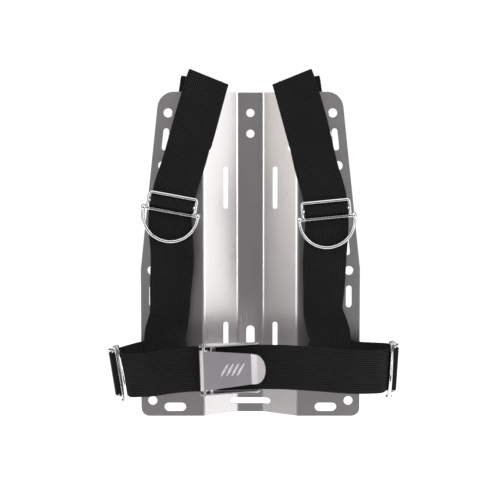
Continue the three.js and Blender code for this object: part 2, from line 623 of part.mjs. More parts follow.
// Outline in the X-Z plane carried across Y.
function crossBar(points, halfWidth) {
  const bar = new THREE.ExtrudeGeometry(shapeOf(points), {
    depth: 2 * halfWidth, bevelEnabled: false,
  });
  return bar.rotateX(Math.PI / 2).translate(0, halfWidth, 0);
}

function makeBuckleFrame() {
  const half = BUCKLE_INNER_HALF + BUCKLE_SHEET;
  const rim = eased([[0, -half], [BUCKLE_LENGTH, -half], [BUCKLE_LENGTH, half], [0, half],
    [0, -half + 0.01]], 3);
  const floor = shapeOf(rim.slice(1));
  const slot = [[0, -1], [0, 1], [1, 1], [1, -1]].map(([x, y]) => (
    new THREE.Vector2(BUCKLE_BAR + x * BUCKLE_SLOT, y * BUCKLE_INNER_HALF)));
  floor.holes.push(new THREE.Path(slot));
  const base = new THREE.ExtrudeGeometry(floor, { depth: BUCKLE_SHEET, bevelEnabled: false });
  const side = eased([[1, 0], [1, RAIL_HIGH], [PIN_ALONG + 8, RAIL_HIGH],
    [BUCKLE_LENGTH - 3, RAIL_LOW], [BUCKLE_LENGTH - 1.5, 0], [1.01, 0]], 1.2, 3).slice(1);
  const rails = [-1, 1].map((way) => crossBar([...side, [1, 0.2]], BUCKLE_SHEET / 2)
    .translate(0, way * (half - BUCKLE_SHEET / 2), 0));
  const bore = rod(at(PIN_ALONG, -2 * half, PIN_LIFT), at(PIN_ALONG, 2 * half, PIN_LIFT),
    PIN_R + GAP, 20);
  return placed(geometryOf(join([base, ...rails]).subtract(solidOf(bore))), buckleFrame);
}

function makeBucklePin() {
  const reach = BUCKLE_INNER_HALF + BUCKLE_SHEET + GAP;
  const heads = [-1, 1].map((way) => rod(at(PIN_ALONG, way * reach, PIN_LIFT),
    at(PIN_ALONG, way * (reach + 1.2), PIN_LIFT), PIN_R + 1));
  const shank = rod(at(PIN_ALONG, -reach - 0.6, PIN_LIFT), at(PIN_ALONG, reach + 0.6, PIN_LIFT),
    PIN_R);
  return placed(geometryOf(join([shank, ...heads])), buckleFrame);
}

function makeBuckleLever() {
  const top = PIN_LIFT + BARREL_R - LEVER_SHEET / 2;
  const line = eased([
    [PIN_ALONG, top], [LEVER_NECK_ALONG, top - 1.6], [LEVER_NECK_ALONG + 7, top + 0.9],
    [LEVER_TIP_ALONG + 2, top + 3.8],
  ], 5, 3);
  const tongue = crossBar(sheetOutline(line, LEVER_SHEET), LEVER_ROOT_HALF + 1);
  const tip = arc([0, 0], 1, -88, 88, 18).map(([x, y]) => [
    LEVER_TIP_ALONG + (x - 1) * LEVER_TIP_ROUND, y * LEVER_NECK_HALF]);
  const outline = shapeOf([[PIN_ALONG - 1, -LEVER_ROOT_HALF], [PIN_ALONG + 5, -LEVER_ROOT_HALF],
    ...tip, [PIN_ALONG + 5, LEVER_ROOT_HALF], [PIN_ALONG - 1, LEVER_ROOT_HALF]]);
  const trim = new THREE.ExtrudeGeometry(outline, { depth: 60, bevelEnabled: false });
  const barrel = rod(at(PIN_ALONG, -LEVER_ROOT_HALF - 1, PIN_LIFT),
    at(PIN_ALONG, LEVER_ROOT_HALF + 1, PIN_LIFT), BARREL_R, 28);
  const low = BUCKLE_SHEET + WEB_THICK + 3 * GAP;
  const ridge = crossBar([[RIDGE_ALONG - 3, low + 0.8], [RIDGE_ALONG, low],
    [RIDGE_ALONG + 3, low + 0.8], [RIDGE_ALONG + 3, top], [RIDGE_ALONG - 3, top]],
  LEVER_NECK_HALF);
  const bore = rod(at(PIN_ALONG, -2 * LEVER_ROOT_HALF, PIN_LIFT),
    at(PIN_ALONG, 2 * LEVER_ROOT_HALF, PIN_LIFT), PIN_R + GAP, 20);
  const body = solidOf(tongue).intersect(solidOf(trim)).add(join([barrel, ridge]));
  return placed(geometryOf(body.subtract(solidOf(bore))), buckleFrame);
}

// ---- assembly ------------------------------------------------------------------
const group = new THREE.Group();
group.name = 'diving_harness';

function add(name, geometry, color, roughness, metalness) {
  geometry.translate(0, 0, -ORIGIN_UP);
  const material = new THREE.MeshStandardMaterial({ color, roughness, metalness });
  material.name = name;
  const mesh = new THREE.Mesh(geometry, material);
  mesh.name = name;
  group.add(mesh);
}

const steel = (name, geometry, color = 0xb9b9bd, roughness = 0.3) => (
  add(name, geometry, color, roughness, 1));
const webbing = (name, geometry) => add(name, geometry, 0x1d1d1f, 0.85, 0);

steel('backplate', makeBackplate(), 0x8c898c, 0.4);
for (const name of ['left', 'right']) {
  const frames = sideFrames(name);
  webbing(`shoulder_strap_${name}`, makeShoulderStrap(name));
  steel(`shoulder_slide_${name}`, placed(makeSlide(true), frames.shoulder));
  steel(`shoulder_d_ring_${name}`, placed(makeRing(), frames.shoulder));
  steel(`hip_slide_${name}`, placed(makeSlide(true), frames.hip));
  steel(`hip_d_ring_${name}`, placed(makeRing(), frames.hipRing));
  steel(`top_slide_${name}`, placed(makeSlide(false), frames.top));
  steel(`low_slide_${name}`, placed(makeSlide(false), frames.low));
}
webbing('waist_strap_left', makeWaistStrapLeft());
webbing('waist_strap_right', makeWaistStrapRight());
steel('buckle_frame', makeBuckleFrame());
steel('buckle_pin', makeBucklePin());
steel('buckle_lever', makeBuckleLever());

export default group;
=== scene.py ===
"""Diving backplate harness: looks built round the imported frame, laid out as an add-on.

Metres, +Z up. The wearer's side faces -Y. Each operator makes one group of pieces.
"""

import json
from math import atan, cos, pi, radians, sin

import bmesh
import bpy
from mathutils import Matrix, Vector

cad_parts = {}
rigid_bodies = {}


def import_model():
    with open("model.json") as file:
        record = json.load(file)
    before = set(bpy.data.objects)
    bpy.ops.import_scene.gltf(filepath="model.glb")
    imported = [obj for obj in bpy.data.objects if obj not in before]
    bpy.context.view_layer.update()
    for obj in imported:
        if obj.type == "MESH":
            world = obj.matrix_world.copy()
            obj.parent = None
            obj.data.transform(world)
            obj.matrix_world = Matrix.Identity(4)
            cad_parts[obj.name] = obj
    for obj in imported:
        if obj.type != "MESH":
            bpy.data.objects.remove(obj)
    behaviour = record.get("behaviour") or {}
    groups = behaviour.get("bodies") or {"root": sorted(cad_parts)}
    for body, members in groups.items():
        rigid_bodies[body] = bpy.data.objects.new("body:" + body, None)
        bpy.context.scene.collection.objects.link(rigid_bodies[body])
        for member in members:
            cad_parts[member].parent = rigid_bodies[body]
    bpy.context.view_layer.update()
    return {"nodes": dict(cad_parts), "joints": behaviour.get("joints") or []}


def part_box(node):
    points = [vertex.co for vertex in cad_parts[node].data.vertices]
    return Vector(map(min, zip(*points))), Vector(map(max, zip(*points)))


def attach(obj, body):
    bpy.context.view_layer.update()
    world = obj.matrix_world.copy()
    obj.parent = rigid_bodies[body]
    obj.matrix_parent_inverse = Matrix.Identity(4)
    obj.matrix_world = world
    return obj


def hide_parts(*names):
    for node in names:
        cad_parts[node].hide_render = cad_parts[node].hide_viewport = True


bl_info = {
    "name": "Diving Backplate Harness",
    "version": (1, 0, 0),
    "blender": (4, 5, 0),
    "location": "View3D > Sidebar > Harness",
    "description": "Builds the webbing, wire fittings, buckle and plate of a diving harness",
    "category": "Add Mesh",
}

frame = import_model()
JOINTS = {joint["name"]: joint for joint in frame["joints"]}

MM = 0.001
WEB_WIDTH = 50.8 * MM
WEB_THICK = 2.4 * MM
STATION_STEP = 4 * MM  # spacing of the webbing's cross-sections
SLIDE_WIRE = 4.1 * MM
WEAVE_GAP = 0.6 * MM  # free space on each side of webbing that passes between two bars
RUNNING_FIT = 0.3 * MM  # free space round a part that turns or slides
SIDES = {"left": -1, "right": 1}
HARNESS_BODY = "harness"
HIP_SLIDE_TURN = {"left": 35, "right": 27}  # degrees inward
HIP_RING_TURN = {"left": 14, "right": 7}
TAIL_LEAN = 0.1426  # inward lean of the free ends behind the plate, per unit of height
TAIL_STAND_OFF = 0.15  # how far those ends draw away from the plate, per unit of height

BAR_EASE = 0.4 * MM  # the break on a bar's ends
BAR_HEAD = 0.7 * MM  # how far a hinge bar's riveted head stands out, and its thickness
RING_ROOT = 2.6 * MM  # from an eye's centre to where the ring's wire begins

RIB_COUNT = 4
RIB_START = 23 * MM  # from the lever's hinge to its first rib
RIB_PITCH = 6 * MM
RIB_HALF = (1.1 * MM, 8 * MM, 0.7 * MM)  # half its thickness, length and height
RIB_SLANT = -32  # degrees
LEVER_RISE = 5.4 * MM  # the lever's face over its hinge
LEVER_FALL = 0.0302  # how much lower the face gets towards its tip, per unit of length

LENS = 77.6  # mm, as is the sensor's width
SENSOR_WIDTH = 36
LOOK_DOWN = 0.10  # share of the frame's width by which the view is tipped down
WHITE = (1.0, 1.0, 1.0)


# ---- settings -----------------------------------------------------------------
class HarnessFittings(bpy.types.PropertyGroup):
    """Sizes of the bent wire fittings."""

    wire: bpy.props.FloatProperty(
        name="Slide wire", description="Diameter of the slides' wire",
        default=SLIDE_WIRE, unit="LENGTH", precision=5)
    pitch: bpy.props.FloatProperty(
        name="Bar pitch", description="Middle bar to outer bar of a slide",
        default=1.24 * (SLIDE_WIRE + WEB_THICK + 2 * WEAVE_GAP), unit="LENGTH", precision=5)
    half_width: bpy.props.FloatProperty(
        name="Slide half width", description="Middle of a slide to its side wire's centre",
        default=WEB_WIDTH / 2 + RUNNING_FIT + SLIDE_WIRE / 2, unit="LENGTH", precision=5)
    corner: bpy.props.FloatProperty(
        name="Corner radius", description="Bend radius at a slide's corners",
        default=3.0 * MM, unit="LENGTH", precision=5)
    ring_wire: bpy.props.FloatProperty(
        name="Ring wire", description="Diameter of the D-rings' wire",
        default=3.8 * MM, unit="LENGTH", precision=5)
    ring_arm: bpy.props.FloatProperty(
        name="Ring arm", description="Straight part of a D-ring beside its eye",
        default=2.8 * MM, unit="LENGTH", precision=5)
    eye_radius: bpy.props.FloatProperty(
        name="Eye radius", description="Outside radius of a D-ring's eye",
        default=4.0 * MM, unit="LENGTH", precision=5)
    fit: bpy.props.FloatProperty(
        name="Running fit", description="Gap between an eye and the bar in it",
        default=RUNNING_FIT, unit="LENGTH", precision=5)


class HarnessFinishes(bpy.types.PropertyGroup):
    """Colours and grain of the materials."""

    # The webbing's black, painted darker in the hollows between grains as painted shade and lighter
    # on the raised grain tops as painted highlight.
    yarn_low: bpy.props.FloatVectorProperty(
        name="Webbing painted shade", description="Black webbing darkened between the grains as painted shade",
        default=(0.0008, 0.0008, 0.001), subtype="COLOR", size=3, min=0, max=1)
    black_with_painted_highlight: bpy.props.FloatVectorProperty(
        name="Webbing painted highlight", description="Black webbing lightened on the raised grains as painted highlight",
        default=(0.030, 0.030, 0.033), subtype="COLOR", size=3, min=0, max=1)
    grains: bpy.props.IntProperty(
        name="Grains across", description="Raised grains across the webbing's width",
        default=23, min=4, max=60)
    plate: bpy.props.FloatVectorProperty(
        name="Plate steel", description="Colour of the plate's rolled sheet",
        default=(0.61, 0.60, 0.605), subtype="COLOR", size=3, min=0, max=1)
    wire: bpy.props.FloatVectorProperty(
        name="Wire steel", description="Colour of the polished wire",
        default=(0.64, 0.64, 0.65), subtype="COLOR", size=3, min=0, max=1)
    buckle: bpy.props.FloatVectorProperty(
        name="Buckle steel", description="Colour of the buckle's satin sheet",
        default=(0.72, 0.70, 0.72), subtype="COLOR", size=3, min=0, max=1)


# ---- node tools ---------------------------------------------------------------
class Nodes:
    """A material's node tree, built one node at a time."""

    def __init__(self, name):
        self.material = bpy.data.materials.new(name)
        self.material.use_nodes = True
        self.tree = self.material.node_tree
        self.shader = self.tree.nodes["Principled BSDF"]

    def add(self, kind, sockets=None, **settings):
        node = self.tree.nodes.new("ShaderNode" + kind)
        for key, value in settings.items():
            setattr(node, key, value)
        for key, value in (sockets or {}).items():
            self.feed(node.inputs[key], value)
        return node

    def feed(self, socket, value):
        if isinstance(value, bpy.types.NodeSocket):
            self.tree.links.new(value, socket)
        else:
            socket.default_value = value

    def math(self, operation, *values):
        node = self.add("Math", dict(enumerate(values)), operation=operation)
        return node.outputs[0]

    def mix(self, share, low, high):
        node = self.add("Mix", data_type="RGBA")
        self.feed(node.inputs[0], share)
        self.feed(node.inputs[6], low)
        self.feed(node.inputs[7], high)
        return node.outputs[2]

    def noise(self, vector, scale, detail=3.0):
        return self.add("TexNoise", {"Vector": vector, "Scale": scale, "Detail": detail}).outputs[0]

    def between(self, value, low, high):
        node = self.add("MapRange", {"Value": value, "To Min": low, "To Max": high})
        return node.outputs[0]

    def place(self, scale=(1, 1, 1)):
        spot = self.add("TexCoord").outputs["Object"]
        return self.add("Mapping", {"Vector": spot, "Scale": scale}).outputs[0]

    def bump(self, height, depth, strength=1.0):
        return self.add("Bump", {
            "Height": height, "Distance": depth, "Strength": strength}).outputs[0]

    def set(self, **sockets):
        for key, value in sockets.items():
            self.feed(self.shader.inputs[key.replace("_", " ")], value)
        return self.material


def opaque(colour):
    return (*colour, 1)


def webbing_material():
    """Woven nylon: staggered grains that follow the strap's own UV map, with painted highlight on
    their tops and painted shade between them.
    """
    look = bpy.context.scene.harness_finishes
    n = Nodes("black_webbing")
    strap = n.add("SeparateXYZ", {0: n.add("TexCoord").outputs["UV"]})
    across = n.math("MULTIPLY", strap.outputs[0], look.grains)
    column = n.math("FLOOR", across)
    along = n.math("MULTIPLY_ADD", column, 0.5, n.math("MULTIPLY", strap.outputs[1], 25.0))
    crest = n.math("SINE", n.math("MULTIPLY", n.math("FRACT", across), pi))
    rise = n.math("SINE", n.math("MULTIPLY", n.math("FRACT", along), pi))
    grain = n.math("POWER", n.math("MULTIPLY", crest, rise), 1.3)
    twist = n.math("SINE", n.math(
        "MULTIPLY_ADD", across, 4 * 2 * pi, n.math("MULTIPLY", along, 2 * pi)))
    fuzz = n.noise(n.place(), 900.0, 2.0)
    cloud = n.noise(n.place(), 22.0, 3.0)
    height = n.math("ADD", grain, n.math("ADD", n.math("MULTIPLY", twist, 0.10),
                                       n.math("MULTIPLY", fuzz, 0.25)))
    # Painted highlight and shade: the raised grain tops are coloured lighter and the hollows
    # darker, under a random cloudy tone.
    shade = n.math("MULTIPLY", n.math("MULTIPLY", grain, grain), n.between(cloud, 0.45, 1.25))
    return n.set(
        Base_Color=n.mix(shade, opaque(look.yarn_low), opaque(look.black_with_painted_highlight)),
        Roughness=n.between(grain, 0.9, 0.5), Normal=n.bump(height, 0.45 * MM, 0.9),
        Sheen_Weight=0.02, Sheen_Roughness=0.35, Specular_IOR_Level=0.14)


def plate_material():
    """Rolled stainless sheet: faint upright grain and a cloudy sheen."""
    look = bpy.context.scene.harness_finishes
    n = Nodes("plate_steel")
    streak = n.noise(n.place(scale=(1, 1, 0.012)), 900.0, 4.0)
    cloud = n.noise(n.place(scale=(1, 1, 0.5)), 9.0, 3.0)
    mottle = n.noise(n.place(), 60.0, 3.0)
    tint = n.mix(cloud, opaque([c * 0.90 for c in look.plate]),
                 opaque([c * f for c, f in zip(look.plate, (1.10, 1.08, 1.05))]))
    rough = n.math("ADD", n.between(streak, 0.26, 0.31), n.math(
        "MULTIPLY", n.math("SUBTRACT", mottle, 0.5), 0.04))
    return n.set(Base_Color=tint, Metallic=1.0, Roughness=rough)


def wire_material():
    """Polished wire with rubbed spots."""
    look = bpy.context.scene.harness_finishes
    n = Nodes("polished_wire")
    rubbed = n.noise(n.place(), 90.0, 3.0)
    tint = n.mix(rubbed, opaque([c * 0.93 for c in look.wire]), opaque(look.wire))
    return n.set(Base_Color=tint, Metallic=1.0, Roughness=n.between(rubbed, 0.08, 0.22))


def buckle_material():
    """Satin sheet, brushed along the belt."""
    look = bpy.context.scene.harness_finishes
    n = Nodes("satin_buckle")
    streak = n.noise(n.place(scale=(0.02, 1, 1)), 1400.0, 4.0)
    cloud = n.noise(n.place(), 55.0, 3.0)
    tint = n.mix(cloud, opaque([c * 0.92 for c in look.buckle]),
                 opaque([min(1, c * 1.08) for c in look.buckle]))
    return n.set(Base_Color=tint, Metallic=1.0, Roughness=n.between(streak, 0.30, 0.38),
                 Normal=n.bump(streak, 0.01 * MM, 0.1))


MADE = {}


def dress(piece, build):
    """Gives a piece the material of this maker, made once."""
    if build.__name__ not in MADE:
        MADE[build.__name__] = build()
    piece.data.materials.clear()
    piece.data.materials.append(MADE[build.__name__])


# ---- modelling tools ----------------------------------------------------------
def nothing_selected():
    if bpy.context.object and bpy.context.object.mode != "OBJECT":
        bpy.ops.object.mode_set(mode="OBJECT")
    for thing in bpy.context.scene.objects:
        thing.select_set(False)


def pick(*pieces):
    nothing_selected()
    for piece in pieces:
        piece.select_set(True)
    bpy.context.view_layer.objects.active = pieces[0]


def copy_of(node, name):
    """A merged copy of a CAD node's mesh as a new piece, in edit mode and all selected."""
    piece = bpy.data.objects.new(name, frame["nodes"][node].data.copy())
    bpy.context.scene.collection.objects.link(piece)
    pick(piece)
    bpy.ops.object.mode_set(mode="EDIT")
    bpy.ops.mesh.select_all(action="SELECT")
    bpy.ops.mesh.remove_doubles(threshold=0.01 * MM)
    return piece


def modifier(piece, kind, **settings):
    """Adds a modifier and applies it."""
    pick(piece)
    bpy.ops.object.modifier_add(type=kind)
    added = piece.modifiers[-1]
    for key, value in settings.items():
        setattr(added, key, value)
    bpy.ops.object.modifier_apply(modifier=added.name)


def smooth(piece, angle):
    pick(piece)
    bpy.ops.object.shade_smooth_by_angle(angle=radians(angle))


def hand_over(piece, build, body, slot, *nodes):
    """Material, body and the CAD nodes that the piece stands for; slot is not used."""
    nothing_selected()
    dress(piece, build)
    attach(piece, body)
    if nodes:
        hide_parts(*nodes)


# ---- sheet metal --------------------------------------------------------------
def softened(node, name, edge, rounds=2):
    """A copy of a sheet part with its flat faces joined and its edges broken."""
    piece = copy_of(node, name)
    bpy.ops.mesh.dissolve_limited(angle_limit=radians(0.6), delimit={"NORMAL"})
    bpy.ops.object.mode_set(mode="OBJECT")
    modifier(piece, "BEVEL", width=edge, segments=rounds, limit_method="ANGLE",
             angle_limit=radians(38), harden_normals=False, use_clamp_overlap=True)
    smooth(piece, 30)
    modifier(piece, "WEIGHTED_NORMAL", mode="FACE_AREA", weight=100, keep_sharp=True)
    return piece


# ---- webbing ------------------------------------------------------------------
def strap_rings(bm):
    """The strap's cross-sections in order, each as four corners in the same turn."""
    def layers(start):
        found, ahead = [], set(start)
        seen = set(start)
        while ahead:
            found.append(ahead)
            ahead = {e.other_vert(v) for v in ahead for e in v.link_edges} - seen
            seen |= ahead
        return found

    def ends():
        for edge in bm.edges:
            one, other = edge.link_faces
            area = one.calc_area() + other.calc_area()
            if one.normal.dot(other.normal) > 0.999 and area < 1.01 * WEB_WIDTH * WEB_THICK:
                yield {*one.verts, *other.verts}

    rings = max((found for found in map(layers, ends())
                 if all(len(layer) == 4 for layer in found)), key=len)
    middles = [sum((v.co for v in ring), Vector()) / 4 for ring in rings]
    ordered = []
    for i, ring in enumerate(rings):
        ahead = middles[min(i + 1, len(rings) - 1)] - middles[max(i - 1, 0)]
        turns = []
        for a in ring:
            thick, wide, far = sorted(ring - {a}, key=lambda v, a=a: (v.co - a.co).length)
            if (wide.co - a.co).cross(thick.co - a.co).dot(ahead) > 0:
                turns.append([a, wide, far, thick])
        ordered.append(turns[0] if not ordered else min(turns, key=lambda turn, i=i: sum(
            ((v.co - middles[i]) - (old.co - middles[i - 1])).length
            for v, old in zip(turn, ordered[-1]))))
    return ordered


def strap_stations(node):
    """Middle, direction across and face direction of each cross-section, evenly spread."""
    bm = bmesh.new()
    bm.from_mesh(frame["nodes"][node].data)
    bmesh.ops.remove_doubles(bm, verts=bm.verts, dist=0.01 * MM)
    rough = []
    for ring in strap_rings(bm):
        a, b, c, d = (v.co for v in ring)
        rough.append(((a + b + c + d) / 4, (b - a).normalized(), (c - b).normalized()))
    bm.free()
    fine = []
    for i in range(len(rough) - 1):
        p0, p1, p2, p3 = (rough[min(max(i + k, 0), len(rough) - 1)][0] for k in (-1, 0, 1, 2))
        span = (p2 - p1).length
        steps = max(1, round(span / STATION_STEP))
        lead = (p2 - p0) * (span / max((p2 - p0).length, span))
        trail = (p3 - p1) * (span / max((p3 - p1).length, span))
        for k in range(steps):
            t = k / steps
            spot = (p1 * (2 * t**3 - 3 * t**2 + 1) + lead * (t**3 - 2 * t**2 + t)
                    + p2 * (3 * t**2 - 2 * t**3) + trail * (t**3 - t**2))
            across = rough[i][1].lerp(rough[i + 1][1], t).normalized()
            lift = rough[i][2].lerp(rough[i + 1][2], t).normalized()
            fine.append((spot, across, lift))
    return [*fine, rough[-1]]


def strap_profile():
    """Half of the strap's section: across and lift, rounded at the selvedge."""
    r = 0.9 * MM
    x, y = WEB_WIDTH / 2, WEB_THICK / 2
    flat = [(k * x / 4, -y) for k in range(-3, 4)]
    corners = [(x - r + r * sin(t), -(y - r) - r * cos(t)) for t in (0, pi / 6, pi / 3, pi / 2)]
    edge = [*corners, *[(a, -b) for a, b in reversed(corners)]]
    return [*flat, *edge, *[(a, -b) for a, b in reversed(flat)],
            *[(-a, -b) for a, b in edge]]


def webbing(node, name):
    """A strap with rounded selvedges and sealed ends; its UV map runs along it."""
    stations = strap_stations(node)
    profile = strap_profile()
    bm = bmesh.new()
    uv = bm.loops.layers.uv.new("along_strap")
    rings, runs, run = [], [], 0.0
    ends = (0, len(stations) - 1)
    for i, (spot, across, lift) in enumerate(stations):
        run += (spot - stations[i - 1][0]).length if i else 0.0
        narrow, thin = (0.985, 0.55) if i in ends else (1, 1)
        rings.append([bm.verts.new(spot + across * x * narrow + lift * y * thin)
                      for x, y in profile])
        runs.append(run / WEB_WIDTH)
    count = len(profile)
    shares = [0.5 + x / WEB_WIDTH for x, _ in profile]
    for i in range(len(rings) - 1):
        for j in range(count):
            k = (j + 1) % count
            face = bm.faces.new((rings[i][j], rings[i][k], rings[i + 1][k], rings[i + 1][j]))
            for loop, (u, v) in zip(face.loops, (
                    (shares[j], runs[i]), (shares[k], runs[i]),
                    (shares[k], runs[i + 1]), (shares[j], runs[i + 1]))):
                loop[uv].uv = (u, v)
    for ring, v in ((rings[0][::-1], runs[0]), (rings[-1], runs[-1])):
        for loop in bm.faces.new(ring).loops:
            loop[uv].uv = (0.5, v)
    bmesh.ops.recalc_face_normals(bm, faces=bm.faces)
    mesh = bpy.data.meshes.new(name)
    bm.to_mesh(mesh)
    bm.free()
    piece = bpy.data.objects.new(name, mesh)
    bpy.context.scene.collection.objects.link(piece)
    smooth(piece, 50)
    return piece


# ---- bent wire ----------------------------------------------------------------
def wire_start(radius, spot, turn):
    """A wire's open end: a circle of points, left in edit mode and selected."""
    nothing_selected()
    bpy.ops.mesh.primitive_circle_add(
        vertices=16, radius=radius, fill_type="NOTHING", location=spot, rotation=turn)
    piece = bpy.context.object
    pick(piece)
    bpy.ops.object.transform_apply(location=True, rotation=True, scale=True)
    bpy.ops.object.mode_set(mode="EDIT")
    bpy.ops.mesh.select_all(action="SELECT")
    return piece


def draw(move):
    bpy.ops.mesh.extrude_region_move(TRANSFORM_OT_translate={"value": move})


def bend(centre, angle, steps):
    """Carries the wire round a corner; a positive angle turns from X towards Y."""
    bpy.ops.mesh.spin(steps=steps, angle=-angle, center=centre, axis=(0, 0, 1), dupli=False)


def close_up(piece, closed=False):
    """Merges the doubles, caps open ends and turns the faces outwards."""
    bpy.ops.mesh.select_all(action="SELECT")
    bpy.ops.mesh.remove_doubles(threshold=0.01 * MM)
    if not closed:
        bpy.ops.mesh.select_all(action="DESELECT")
        bpy.ops.mesh.select_mode(type="VERT")
        bpy.ops.mesh.select_non_manifold(
            extend=False, use_wire=False, use_multi_face=False, use_non_contiguous=False)
        bpy.ops.mesh.edge_face_add()
    bpy.ops.mesh.select_all(action="SELECT")
    bpy.ops.mesh.normals_make_consistent(inside=False)
    bpy.ops.object.mode_set(mode="OBJECT")
    return piece


def slide_loop(size):
    """The slide's outer loop, bent from one wire and closed on itself."""
    out, up, r = size.half_width, size.pitch, size.corner
    piece = wire_start(size.wire / 2, (-(out - r), up, 0), (0, pi / 2, 0))
    for i in range(4):
        long_side = i % 2 == 0
        flat = 2 * ((out if long_side else up) - r)
        heading = [(1, 0), (0, -1), (-1, 0), (0, 1)][i]
        draw((heading[0] * flat, heading[1] * flat, 0))
        corner = [(1, 1), (1, -1), (-1, -1), (-1, 1)][i]
        bend((corner[0] * (out - r), corner[1] * (up - r), 0), -pi / 2, 6)
    return close_up(piece, closed=True)


def cross_bar(size, reach, up, head=0.0):
    """A straight bar with eased ends; with a head it is riveted over outside the eyes."""
    radius = size.wire / 2
    tip = radius - BAR_EASE
    wide = radius + head
    piece = wire_start(tip, (-reach - head, up, 0), (0, pi / 2, 0))

    def swell(before, after):
        factor = after / before
        bpy.ops.transform.resize(value=(1, factor, factor), center_override=(0, up, 0))

    draw((BAR_EASE, 0, 0))
    swell(tip, wide)
    if head:
        draw((head - BAR_EASE, 0, 0))
        draw((0, 0, 0))
        swell(wide, radius)
        draw((2 * reach, 0, 0))
        draw((0, 0, 0))
        swell(radius, wide)
        draw((head - BAR_EASE, 0, 0))
    else:
        draw((2 * (reach - BAR_EASE), 0, 0))
    draw((BAR_EASE, 0, 0))
    swell(wide, tip)
    return close_up(piece)


def placed(parts, name, matrix):
    """Joins the parts under one name and sets them in place, with the place in the mesh."""
    pick(*parts)
    if len(parts) > 1:
        bpy.ops.object.join()
    piece = bpy.context.object
    piece.name = name
    piece.data.name = name
    piece.matrix_world = matrix
    pick(piece)
    bpy.ops.object.transform_apply(location=True, rotation=True, scale=True)
    smooth(piece, 50)
    return piece


def slide(size, name, matrix, hinged):
    """Wire slide: closed loop, middle bar and, where hinged, the D-ring's bar."""
    parts = [slide_loop(size), cross_bar(size, size.half_width, 0)]
    if hinged:
        eye = size.half_width + size.wire / 2 + size.fit + size.ring_wire / 2
        parts.append(cross_bar(size, eye + size.ring_wire / 2 + size.fit, size.pitch, BAR_HEAD))
    return placed(parts, name, matrix)


def d_ring(size, name, matrix):
    """D-ring: a bow between two eyes that turn on the slide's bar."""
    reach = size.half_width + size.wire / 2 + size.fit + size.ring_wire / 2
    piece = wire_start(size.ring_wire / 2, (reach, size.pitch + RING_ROOT, 0), (-pi / 2, 0, 0))
    draw((0, size.ring_arm - RING_ROOT, 0))
    bend((0, size.pitch + size.ring_arm, 0), pi, 40)
    draw((0, RING_ROOT - size.ring_arm, 0))
    close_up(piece)
    bore = size.wire / 2 + size.fit
    parts = [piece]
    for side in (-1, 1):
        nothing_selected()
        bpy.ops.mesh.primitive_torus_add(
            location=(side * reach, size.pitch, 0), rotation=(0, pi / 2, 0),
            major_segments=28, minor_segments=14, major_radius=(bore + size.eye_radius) / 2,
            minor_radius=(size.eye_radius - bore) / 2)
        eye = bpy.context.object
        pick(eye)
        bpy.ops.object.transform_apply(location=True, rotation=True, scale=True)
        bpy.ops.object.mode_set(mode="EDIT")
        bpy.ops.mesh.select_all(action="SELECT")
        bpy.ops.transform.resize(
            value=(size.ring_wire / (size.eye_radius - bore), 1, 1),
            center_override=(side * reach, size.pitch, 0))
        bpy.ops.object.mode_set(mode="OBJECT")
        parts.append(eye)
    return placed(parts, name, matrix)


def fitting_matrix(axis, along, spot, back=0.0):
    """Across the strap X, along it Y, outward Z; `spot` lies `back` along Y from the middle."""
    across = Vector(axis).normalized()
    forward = Vector(along)
    forward = (forward - across * forward.dot(across)).normalized()
    outward = across.cross(forward)
    turn = Matrix((across, forward, outward)).transposed().to_4x4()
    return Matrix.Translation(Vector(spot) - forward * back) @ turn


def hinge_matrix(place, side, size, hip_turns):
    """Where a fitting lies about its D-ring's joint; the hips' fittings turn inward."""
    row = JOINTS[f"{place}_d_ring_{side}_swing"]
    turn = radians(hip_turns[side])
    along = (0, 0, -1) if place == "shoulder" else (-SIDES[side] * sin(turn), -cos(turn), 0)
    return fitting_matrix(row["axis"], along, row["pos_m"], size.pitch)


def box_middle(node):
    low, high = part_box(node)
    return (low + high) / 2


# ---- operators ----------------------------------------------------------------
class HARNESS_OT_backplate(bpy.types.Operator):
    """Folded steel backplate with its edges broken"""

    bl_idname = "harness.backplate"
    bl_label = "Backplate"

    def execute(self, context):
        piece = softened("backplate", "plate_sheet", 0.35 * MM)
        hand_over(piece, plate_material, HARNESS_BODY, "plate_steel", "backplate")
        return {"FINISHED"}


class HARNESS_OT_straps(bpy.types.Operator):
    """The two shoulder straps and the two waist straps"""

    bl_idname = "harness.straps"
    bl_label = "Webbing straps"

    def execute(self, context):
        for node in ("shoulder_strap_left", "shoulder_strap_right",
                     "waist_strap_left", "waist_strap_right"):
            piece = webbing(node, node.replace("strap", "webbing"))
            hand_over(piece, webbing_material, HARNESS_BODY, "webbing", node)
        return {"FINISHED"}


class HARNESS_OT_slides(bpy.types.Operator):
    """Wire slides at the shoulders and hips and the keepers behind the plate"""

    bl_idname = "harness.slides"
    bl_label = "Wire slides"

    def execute(self, context):
        size = context.scene.harness_fittings
        for side, sign in SIDES.items():
            places = {
                f"shoulder_slide_{side}": (
                    hinge_matrix("shoulder", side, size, HIP_SLIDE_TURN), True),
                f"hip_slide_{side}": (hinge_matrix("hip", side, size, HIP_SLIDE_TURN), True),
                f"top_slide_{side}": (self.behind(f"top_slide_{side}", sign), False),
                f"low_slide_{side}": (fitting_matrix(
                    (-1, 0, 0), (0, 0, 1), box_middle(f"low_slide_{side}")), False),
            }
            for node, (matrix, hinged) in places.items():
                piece = slide(size, node.replace("slide", "wire_slide"), matrix, hinged)
                hand_over(piece, wire_material, HARNESS_BODY, "wire_steel", node)
        return {"FINISHED"}

    @staticmethod
    def behind(node, sign):
        """A keeper that lies along the leaning free end of a shoulder strap."""
        lean = atan(TAIL_LEAN)
        along = Vector((-sign * sin(lean), TAIL_STAND_OFF, cos(lean))).normalized()
        outward = Vector((0, 1, 0))
        outward = (outward - along * outward.dot(along)).normalized()
        return fitting_matrix(along.cross(outward), along, box_middle(node))


